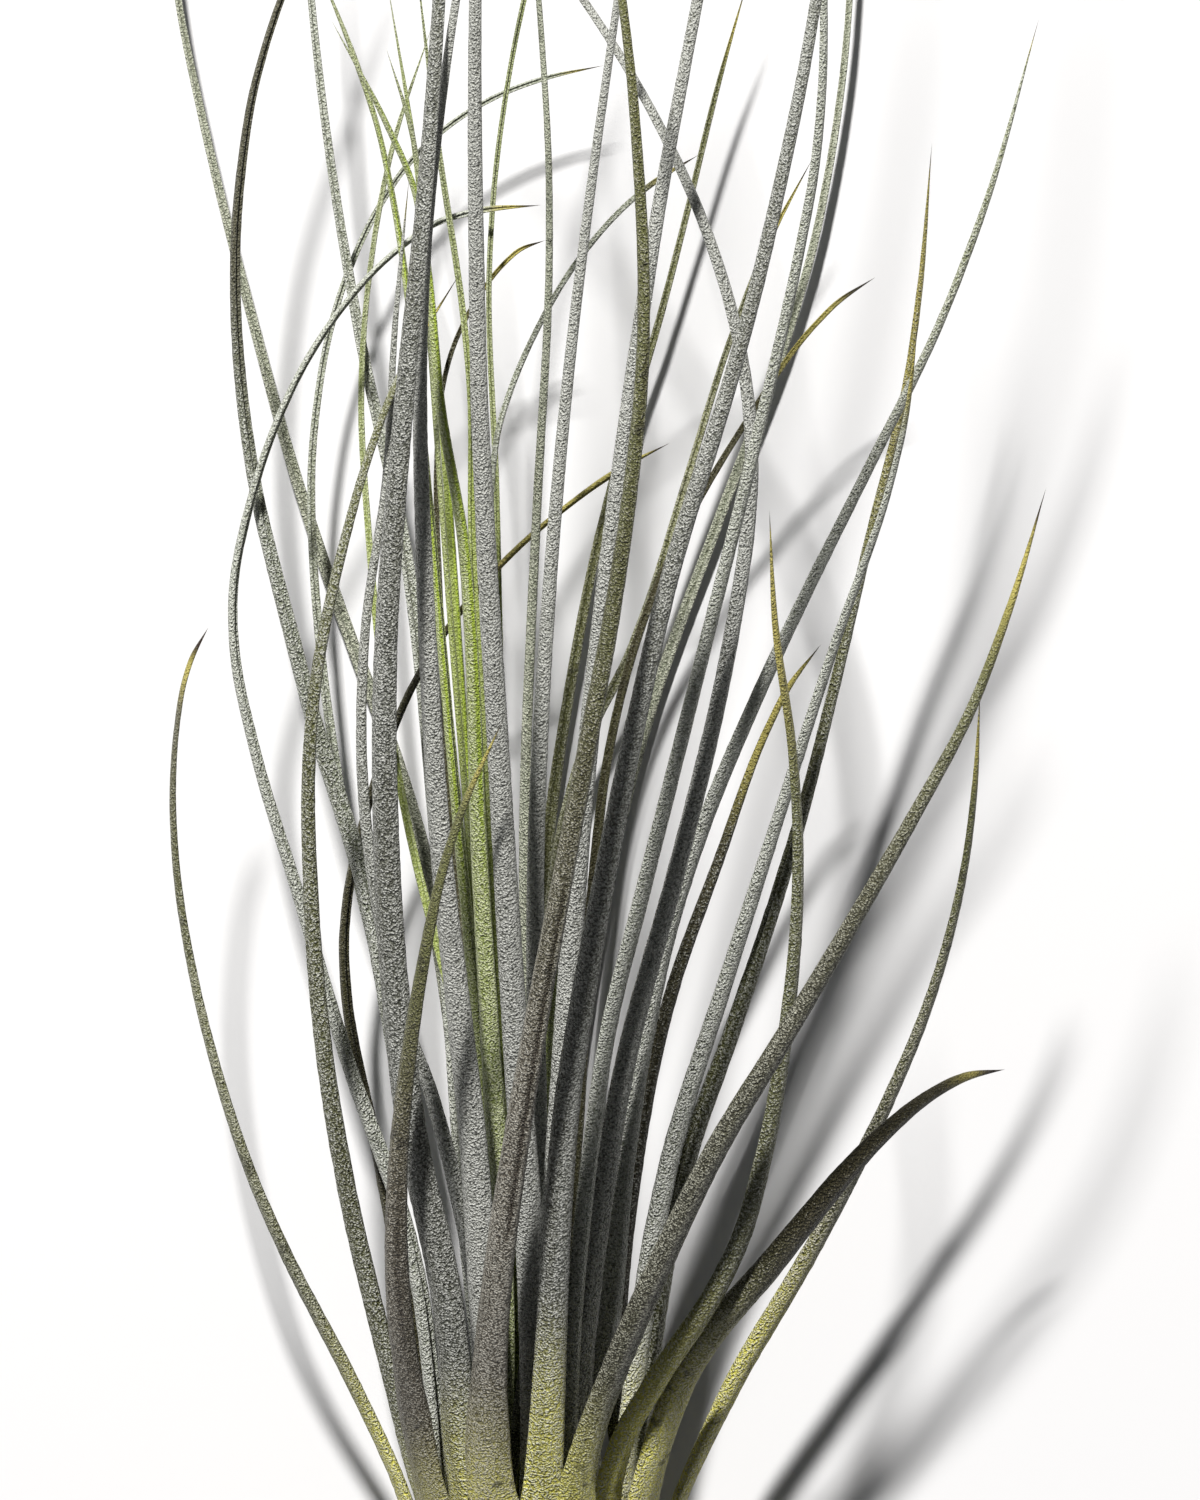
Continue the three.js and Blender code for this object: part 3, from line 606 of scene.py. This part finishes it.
def grid_mesh(name, skin, tip):
    """A closed mesh over the rows, with a flat base and a point."""
    rows, columns, _ = skin.shape
    points = np.concatenate([skin.reshape(-1, 3), tip[None]])
    step = np.arange(columns)
    after = (step + 1) % columns
    base = np.arange(rows - 1)[:, None] * columns
    quads = np.stack(
        [base + step, base + after, base + columns + after, base + columns + step], -1)
    quads = quads.reshape(-1, 4)
    last = (rows - 1) * columns
    faces = quads.tolist()
    faces += [[last + i, last + (i + 1) % columns, rows * columns] for i in range(columns)]
    faces.append(list(range(columns))[::-1])
    mesh = bpy.data.meshes.new(name)
    mesh.from_pydata(points.tolist(), [], faces)
    if signed_volume(points, quads) < 0:
        mesh.flip_normals()
    return mesh


def signed_volume(points, quads):
    """Six times the room inside the faces, below zero where they point inwards."""
    a, b, c, d = (points[quads[:, i]] for i in range(4))
    halves = (np.einsum("ij,ij->i", a, np.cross(b, c)), np.einsum("ij,ij->i", a, np.cross(c, d)))
    return sum(halves).sum()


# Each kind of attribute: the field that holds its values, and how many numbers a point has
ATTRIBUTE_FIELDS = {
    "FLOAT": ("value", 1), "FLOAT_VECTOR": ("vector", 3), "FLOAT_COLOR": ("color", 4),
}


def give(mesh, name, kind, values):
    """Puts a value on each point; a mesh's tip takes the mean of its last row."""
    values = np.array(values, np.float32)
    field, width = ATTRIBUTE_FIELDS[kind]
    flat = values.reshape(-1, width)
    if len(flat) < len(mesh.vertices):
        flat = np.concatenate([flat, values[-1].reshape(-1, width).mean(0, keepdims=True)])
    mesh.attributes.new(name, kind, "POINT").data.foreach_set(field, flat.ravel())


# Leaf looks

COLOURS = {
    "papery": linear(150, 122, 84),
    "lime": linear(238, 234, 126),
    "silver": linear(128, 130, 120),
    "pale": linear(146, 151, 132),
    "brown": linear(112, 104, 88),
    "drab": linear(94, 92, 76),
    "olive": linear(110, 112, 68),
    "dark": linear(66, 62, 38),
    "green": linear(150, 162, 86),
    "sage": linear(132, 138, 100),
    "stripe": linear(158, 178, 58),
    "gold": linear(170, 160, 86),
    "burnt": linear(44, 32, 24),
}

# For each leaf: its body colour, how far up the lime of its base reaches, how long its gold and its
# dark tip are, and how much of its skin the scales cover
LEAF_LOOKS = {
    "outer_leaf_01": ("olive", 40, 16, 4, 0.48),
    "outer_leaf_02": ("pale", 30, 8, 2, 0.62),
    # outer_leaf_03's dark lower part is partly its own dark olive and partly painted shade, as dark
    # as the shadow of the leaves in front of it
    "outer_leaf_03": ("dark", 34, 34, 3, 0.30),
    "outer_leaf_04": ("olive", 60, 20, 3, 0.56),
    "outer_leaf_05": ("olive", 50, 12, 5, 0.55),
    "outer_leaf_06": ("drab", 36, 30, 6, 0.42),
    "outer_leaf_07": ("brown", 36, 0, 0, 0.56),
    "outer_leaf_08": ("brown", 30, 16, 3, 0.42),
    "outer_leaf_09": ("olive", 46, 14, 5, 0.60),
    "outer_leaf_10": ("dark", 30, 50, 3, 0.20),
    "outer_leaf_11": ("pale", 30, 8, 3, 0.66),
    "second_leaf_01": ("olive", 34, 22, 4, 0.66),
    "second_leaf_02": ("dark", 34, 28, 6, 0.22),
    "second_leaf_03": ("olive", 30, 10, 4, 0.46),
    "second_leaf_04": ("pale", 46, 20, 3, 0.84),
    "second_leaf_05": ("olive", 52, 46, 3, 0.40),
    "second_leaf_06": ("silver", 48, 0, 0, 0.56),
    "second_leaf_07": ("silver", 38, 0, 0, 0.50),
    "second_leaf_08": ("olive", 30, 16, 5, 0.46),
    "second_leaf_09": ("pale", 30, 10, 3, 0.80),
    "second_leaf_10": ("pale", 30, 8, 3, 0.52),
    "third_leaf_01": ("dark", 30, 20, 3, 0.30),
    "third_leaf_02": ("pale", 30, 12, 4, 0.60),
    "third_leaf_03": ("pale", 30, 8, 3, 0.88),
    "third_leaf_04": ("pale", 30, 0, 0, 0.76),
    "third_leaf_05": ("silver", 30, 0, 0, 0.86),
    "third_leaf_06": ("silver", 34, 0, 0, 0.90),
    "third_leaf_07": ("silver", 30, 8, 3, 0.66),
    "third_leaf_08": ("pale", 30, 0, 0, 0.60),
    "third_leaf_09": ("pale", 30, 0, 0, 0.78),
    "inner_leaf_01": ("silver", 30, 0, 0, 0.80),
    "inner_leaf_02": ("green", 30, 0, 0, 0.58),
    "inner_leaf_03": ("green", 30, 0, 0, 0.55),
    "inner_leaf_04": ("green", 30, 0, 0, 0.38),
    "inner_leaf_05": ("green", 30, 0, 0, 0.50),
    "inner_leaf_06": ("green", 30, 0, 0, 0.40),
    "inner_leaf_07": ("silver", 30, 0, 0, 0.80),
    "heart_leaf_01": ("silver", 30, 0, 0, 0.82),
    "heart_leaf_02": ("pale", 30, 0, 0, 0.50),
    "heart_leaf_03": ("green", 30, 0, 0, 0.45),
    "heart_leaf_04": ("green", 30, 0, 0, 0.40),
    "heart_leaf_05": ("green", 30, 0, 0, 0.50),
}

# The foot is papery up to the first height and no more beyond the second. It keeps these shares of
# its scales and of their relief.
PAPERY_FROM = -6
PAPERY_TO = 14
PAPERY_COVER = 0.6
PAPERY_RELIEF = 0.5
LIME_SOFTNESS = 26

# The bottom of the channel keeps this share of its scales, and the leaf has them all again between
# these distances from it, in points of the section
CHANNEL_COVER = 0.7
CHANNEL_COVER_FROM = 0.4
CHANNEL_COVER_TO = 1.4

# A gold tip and a dark tip, as shares of their own length from the point: where the colour is full
# and where it is gone, and where the scales of the gold start and are whole again
GOLD_FULL = 0.4
GOLD_SCALES_FROM = 0.3
GOLD_SCALES_TO = 1.2
BURNT_FULL = 0.6
BURNT_GONE = 1.4

# Leaves that change along their length: from and to which height, the colour of the skin beyond,
# and how much of it the scales cover there
UPPER_LOOKS = {
    "outer_leaf_03": (100, 190, "olive", 0.44),
    "outer_leaf_04": (84, 120, "olive", 0.16),
    # outer_leaf_05's dark stretch is partly its own dark colour and partly painted shade, as dark
    # as the shadow of the leaves in front of it
    "outer_leaf_05": (36, 56, "dark", 0.10),
    "outer_leaf_06": (90, 150, "olive", 0.34),
    "outer_leaf_07": (60, 150, "olive", 0.30),
    "outer_leaf_08": (50, 96, "olive", 0.14),
    "outer_leaf_09": (80, 130, "drab", 0.26),
    "second_leaf_03": (140, 190, "gold", 0.34),
    "third_leaf_03": (140, 200, "sage", 0.64),
    "third_leaf_08": (150, 200, "drab", 0.15),
    "inner_leaf_02": (180, 225, "sage", 0.58),
    "inner_leaf_03": (180, 225, "sage", 0.55),
    "inner_leaf_04": (130, 190, "sage", 0.50),
    "inner_leaf_05": (130, 190, "sage", 0.54),
    "inner_leaf_06": (130, 190, "sage", 0.50),
    "heart_leaf_03": (160, 210, "sage", 0.50),
    "heart_leaf_04": (180, 225, "sage", 0.45),
    "heart_leaf_05": (160, 210, "sage", 0.50),
}

# Bright stripes where a green leaf's scales are rubbed off: from which height, and between which
# places across the leaf, from -1 at its left edge to 1 at its right. They grow in over one length
# and fade over another, up to the height where all of them end.
STRIPES = {
    "inner_leaf_02": (95, 0.3, 0.9),
    "inner_leaf_03": (90, -0.1, 0.4),
    "heart_leaf_04": (85, 0.1, 0.7),
}
STRIPE_GROWS = 30
STRIPE_FADES = 40
STRIPE_END = 230
STRIPE_EDGE = 0.15
STRIPE_BARES = 0.8

# Creases pressed into a leaf's upper face: from and to which height, where across it, how deep.
# Their groove is also painted dark, as painted shade.
CREASES = {
    "outer_leaf_07": (50, 108, 0.3, 0.45),
    "outer_leaf_08": (32, 64, 0.1, 0.35),
}
CREASE_WIDE = 0.16
CREASE_FADE = 8
CREASE_PAINTED_SHADE = 0.8


# A leaf's shape

# The sheaths of the bulb: how far up they reach, and how their edges pass over each other
SHEATH_FULL = 0
SHEATH_GONE = 20
SHEATH_WIDER = 0.28
SHEATH_EDGE_THIN = 0.6
SHEATH_TILT = 0.7

# The channel grows deeper between these heights, over so many columns either side of its bottom,
# by this share of the leaf's thickness
CHANNEL_FROM = 15
CHANNEL_TO = 40
CHANNEL_HALF = 4
CHANNEL_DEEPER = 0.22
FLOOR_CLEAR = 0.05


def place_across(skin):
    """Where each point lies across its row, from -1 at the left edge to 1 at the right."""
    middle = skin[..., 0].mean(1, keepdims=True)
    half = np.ptp(skin[..., 0], axis=1)[:, None] / 2
    return (skin[..., 0] - middle) / half


def crease_share(name, skin):
    """How strongly a leaf's crease is pressed in at each of its points."""
    if name not in CREASES:
        return np.zeros(skin.shape[:2])
    low, high, place, _ = CREASES[name]
    y = skin[..., 1] / MM
    length = smooth(low, low + CREASE_FADE, y) * (1 - smooth(high - CREASE_FADE, high, y))
    upper = skin[..., 2] > skin[..., 2].mean(1, keepdims=True)
    return length * upper * np.exp(-(((place_across(skin) - place) / CREASE_WIDE) ** 2))


def sheathed(skin):
    """Widens the sheath at a leaf's foot, thins its edges and tilts it, one edge over the next."""
    x = skin[..., 0] / MM
    y = skin[..., 1] / MM
    rise = skin[..., 2] / MM - axis_height(y)
    share = 1 - smooth(SHEATH_FULL, SHEATH_GONE, y)
    far = np.hypot(x, rise)
    middle = np.arctan2(rise.mean(1), x.mean(1))[:, None]
    turn = (np.arctan2(rise, x) - middle + math.pi) % math.tau - math.pi
    edge = turn / np.abs(turn).max(1, keepdims=True)
    wall = far.mean(1, keepdims=True)
    thinner = 1 - SHEATH_EDGE_THIN * share * edge ** 2
    out = wall + (far - wall) * thinner + SHEATH_TILT * share * edge
    turned_to = middle + turn * (1 + SHEATH_WIDER * share)
    moved = np.stack([out * np.cos(turned_to), y, out * np.sin(turned_to) + axis_height(y)], -1)
    return moved * MM


def shaped(name, skin):
    """A leaf's rows with their sheath, their deeper channel and their crease, over the floor."""
    blade = smooth(CHANNEL_FROM, CHANNEL_TO, skin[..., 1].mean(1) / MM)
    back = skin[:, BACK_POINT * AROUND_STEPS]
    for step in range(-CHANNEL_HALF, CHANNEL_HALF + 1):
        column = CHANNEL_COLUMN + step
        depth = CHANNEL_DEEPER * math.cos(math.pi / 2 * step / (CHANNEL_HALF + 1)) ** 2 * blade
        skin[:, column] += (back - skin[:, column]) * depth[:, None]
    creased = crease_share(name, skin)
    if name in CREASES:
        skin[..., 2] -= creased * CREASES[name][3] * MM
    skin = sheathed(skin)
    skin[..., 2] = np.maximum(skin[..., 2], FLOOR_CLEAR * MM)
    return skin, creased


def stripe_share(name, skin):
    """How strongly a leaf's bright stripe shows at each of its points."""
    start, left, right = STRIPES[name]
    place = place_across(skin)
    y = skin[..., 1] / MM
    grown_in = smooth(start, start + STRIPE_GROWS, y)
    faded = smooth(STRIPE_END - STRIPE_FADES, STRIPE_END, y)
    left_on = smooth(left - STRIPE_EDGE, left + STRIPE_EDGE, place)
    right_off = smooth(right - STRIPE_EDGE, right + STRIPE_EDGE, place)
    return left_on * (1 - right_off) * grown_in * (1 - faded)


def laid(colour, share, shade):
    """The colours with a share of another shade over them."""
    return colour * (1 - share[..., None]) + np.array(COLOURS[shade]) * share[..., None]


def leaf_skin(name, skin, from_tip, creased):
    """Colour of the skin and cover of the scales over a leaf's rows and columns."""
    body, lime_end, gold, burnt, cover = LEAF_LOOKS[name]
    y = skin[..., 1] / MM
    tip = np.broadcast_to((from_tip / MM)[:, None], y.shape)
    colour = np.broadcast_to(COLOURS[body], (*y.shape, 3))
    scales = np.full(y.shape, float(cover))
    if name in UPPER_LOOKS:
        start, end, shade, upper_cover = UPPER_LOOKS[name]
        upper = smooth(start, end, y)
        colour = laid(colour, upper, shade)
        scales += (upper_cover - cover) * upper
    colour = laid(colour, 1 - smooth(lime_end - LIME_SOFTNESS, lime_end, y), "lime")
    green = smooth(PAPERY_FROM, PAPERY_TO, y)
    colour = laid(colour, 1 - green, "papery")
    scales *= PAPERY_COVER + (1 - PAPERY_COVER) * green
    if name in STRIPES:
        stripe = stripe_share(name, skin)
        colour = laid(colour, stripe, "stripe")
        scales *= 1 - STRIPE_BARES * stripe
    if gold:
        colour = laid(colour, 1 - smooth(gold * GOLD_FULL, gold, tip), "gold")
        scales *= smooth(gold * GOLD_SCALES_FROM, gold * GOLD_SCALES_TO, tip)
    if burnt:
        burnt_tip = 1 - smooth(burnt * BURNT_FULL, burnt * BURNT_GONE, tip)
        colour = laid(colour, burnt_tip, "burnt")
    # Painted shade along the crease's groove, in the burnt tip's dark colour
    colour = laid(colour, creased * CREASE_PAINTED_SHADE, "burnt")
    apart = np.abs(np.arange(COLUMNS) - CHANNEL_COLUMN)
    apart = np.minimum(apart, COLUMNS - apart) / AROUND_STEPS
    outside = smooth(CHANNEL_COVER_FROM, CHANNEL_COVER_TO, apart)
    scales = scales * (CHANNEL_COVER + (1 - CHANNEL_COVER) * outside)[None, :]
    return colour, scales * (1 - creased)


# The streaks are drawn on a cylinder of this radius, with so many millimetres of leaf to one of its
# own lengths. Each leaf has a stretch of its own, this far from the next leaf's.
STREAKS_AROUND = 1.1
STREAK_LENGTH = 30
STREAKS_APART = 10

# Leaves of this radius and more have the whole relief, and thinner ones less, down to a least share
ROUGH_RADIUS = 1.4
LEAST_RELIEF = 0.3

# Where the low lumps and veins grow in: over the floor, and back from the tip
LUMPS_OFF_FLOOR = (0.3, 1.5)
LUMPS_OFF_TIP = (0, 12)


def grain_of(number, from_base):
    """Where each point lies on a long cylinder of its own, which draws streaks along the leaf."""
    turn = np.arange(COLUMNS) * math.tau / COLUMNS
    shape = (len(from_base), COLUMNS)
    round_x = np.broadcast_to(np.cos(turn) * STREAKS_AROUND, shape)
    round_y = np.broadcast_to(np.sin(turn) * STREAKS_AROUND, shape)
    length = from_base / MM / STREAK_LENGTH + STREAKS_APART * number
    return np.stack([round_x, round_y, np.broadcast_to(length[:, None], shape)], -1)


def relief_of(skin):
    """How rough the scale crust is: a leaf's thin parts and its papery foot are smoother."""
    radius = np.linalg.norm(skin - skin.mean(1, keepdims=True), axis=2).mean(1)[:, None]
    green = smooth(PAPERY_FROM, PAPERY_TO, skin[..., 1] / MM)
    thick = np.clip(radius / MM / ROUGH_RADIUS, LEAST_RELIEF, 1)
    return thick * (PAPERY_RELIEF + (1 - PAPERY_RELIEF) * green)


def stand_in(piece, node):
    """The piece moves with the plant and takes a solid's place."""
    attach(piece, "root")
    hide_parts(node)


def add_leaf(name, number, tree, material):
    """One leaf in place of its solid."""
    skin, tip, from_base, from_tip = leaf_grid(frame["nodes"][name])
    skin, creased = shaped(name, skin)
    seed_mesh = grid_mesh(name, skin, tip)
    colour, cover = leaf_skin(name, skin, from_tip, creased)
    opaque = np.ones((*colour.shape[:2], 1))
    give(seed_mesh, "skin", "FLOAT_COLOR", np.concatenate([colour, opaque], -1))
    give(seed_mesh, "cover", "FLOAT", cover)
    give(seed_mesh, "grain", "FLOAT_VECTOR", grain_of(number, from_base))
    relief = relief_of(skin)
    give(seed_mesh, "relief", "FLOAT", relief)
    give(seed_mesh, "around", "FLOAT", np.broadcast_to(np.arange(COLUMNS) / COLUMNS, cover.shape))
    off_floor = smooth(*LUMPS_OFF_FLOOR, skin[..., 2] / MM)
    off_tip = smooth(*LUMPS_OFF_TIP, from_tip / MM)[:, None]
    give(seed_mesh, "full", "FLOAT", relief * off_floor * off_tip)
    piece = grown("leaf_" + name.replace("_leaf", ""), seed_mesh, tree, {
        "Seed": float(SEED + number), "Material": material})
    stand_in(piece, name)


# The stem's woody end and its roots

# Half-section of the stem's end: distance from its middle line, and height from the root end
STEM_HALF_SECTION = [
    (9.0, 6.0), (9.4, 4.0), (9.9, 2.6), (9.9, 1.4),
    (9.0, 0.2), (7.0, -0.8), (4.4, -1.5), (2.0, -1.8),
]
STEM_POINT = -1.9
STEM_COLUMNS = 64
STEM_ROWS = 26

# The roots that the solids show: direction round the stem's end in degrees, length, curl upwards.
# They leave the stem's end from so deep inside it, at these distances from its middle line.
MAIN_ROOTS = [(20, 15, 2), (95, 11, 3), (160, 17, -1), (230, 9, 3), (310, 13, 2)]
ROOT_PLACES = [3, 4.2, 5.2, 4.6]
ROOT_DEPTH = 1.5
ROOT_RADIUS = 0.5
ROOT_TAPER = 0.45
ROOT_POINTS = 28
ROOT_WIGGLE = 0.5
ROOT_WAVES = (5, 11)

# The finer roots: where they start, how much further out they end, and their other sizes
FINE_ROOTS = 12
FINE_START = (2, 8)
FINE_STEPS = (0, 0.4, 1.2)
FINE_END = (0.5, 3)
FINE_LENGTH = (5, 14)
FINE_CURL = (-1, 3)
FINE_RADIUS = (0.16, 0.3)


def on_stem(away, back, up=0.0):
    """A place by the stem's end: how far away from its middle line, and how far behind its end."""
    y = ROOT_END - back
    return np.array([away[0], y, away[1] + up + axis_height(y)]) * MM


def stem_grid():
    """The stem's end as rows of points, from inside the bulb to the root end, and its tip."""
    knots = np.arange(len(STEM_HALF_SECTION), dtype=float)
    section = np.array(STEM_HALF_SECTION)[:, None, :]
    profile = flowing(knots, section, np.linspace(0, knots[-1], STEM_ROWS))[:, 0]
    turns = np.arange(STEM_COLUMNS) * math.tau / STEM_COLUMNS
    rows = [[on_stem((far * math.cos(turn), far * math.sin(turn)), -y) for turn in turns]
            for far, y in profile]
    return np.array(rows), on_stem((0, 0), -STEM_POINT)


def root_line(rng, degrees, length, curl, places, radius):
    """One root's middle line, and its radius at each point."""
    turn = math.radians(degrees)
    backs = [-ROOT_DEPTH, ROOT_DEPTH, length / 2, length]
    knots = np.array([
        on_stem((math.cos(turn) * out, math.sin(turn) * out), back,
                curl * max(0, back / length) ** 2)
        for out, back in zip(places, backs)])
    at = np.linspace(0, len(knots) - 1, ROOT_POINTS)
    line = flowing(np.arange(float(len(knots))), knots[:, None], at)[:, 0]
    free = np.linspace(0, 1, ROOT_POINTS)
    phases = rng.uniform(0, math.tau, 3)
    waves = np.sin(free[:, None] * rng.uniform(*ROOT_WAVES, 3) + phases) - np.sin(phases)
    line += waves * free[:, None] * ROOT_WIGGLE * MM
    line[:, 2] = np.maximum(line[:, 2], (radius + FLOOR_CLEAR) * MM)
    return line, radius * MM * (1 - ROOT_TAPER * free)


def roots_mesh():
    """Every root's middle line in one mesh of edges, with the roots' radius on its points."""
    rng = np.random.default_rng(SEED)
    roots = [root_line(rng, *root, ROOT_PLACES, ROOT_RADIUS) for root in MAIN_ROOTS]
    for _ in range(FINE_ROOTS):
        start = rng.uniform(*FINE_START)
        places = start + np.array([*FINE_STEPS, rng.uniform(*FINE_END)])
        degrees = rng.uniform(0, 360)
        length = rng.uniform(*FINE_LENGTH)
        curl = rng.uniform(*FINE_CURL)
        roots.append(root_line(rng, degrees, length, curl, places, rng.uniform(*FINE_RADIUS)))
    points = np.concatenate([line for line, _ in roots])
    starts = np.arange(len(roots)) * ROOT_POINTS
    edges = [(start + i, start + i + 1) for start in starts for i in range(ROOT_POINTS - 1)]
    mesh = bpy.data.meshes.new("roots")
    mesh.from_pydata(points.tolist(), edges, [])
    give(mesh, "thick", "FLOAT", np.concatenate([radius for _, radius in roots]))
    return mesh


def add_stem():
    """The stem's end and its roots, in place of the stem's solid."""
    material = wood_material()
    end_mesh = grid_mesh("stem end", *stem_grid())
    end = grown("stem_end", end_mesh, bark_tree(), {"Material": material})
    roots = grown("stem_roots", roots_mesh(), root_tree(), {"Material": material})
    for piece in (end, roots):
        stand_in(piece, "stem")


def add_leaves():
    """All the leaves, each with the finish that the record gives its solid."""
    crust = scale_group()
    materials = {slot: leaf_material(slot.replace("_", " scaled "), crust, **finish)
                 for slot, finish in LEAF_FINISHES.items()}
    slots = {part["node"]: part["material_slot"] for part in frame["record"]["subparts"]}
    tree = skin_tree()
    for number, name in enumerate(sorted(LEAF_LOOKS)):
        add_leaf(name, number, tree, materials[slots[name]])


add_camera()
add_studio()
add_floor()
add_leaves()
add_stem()
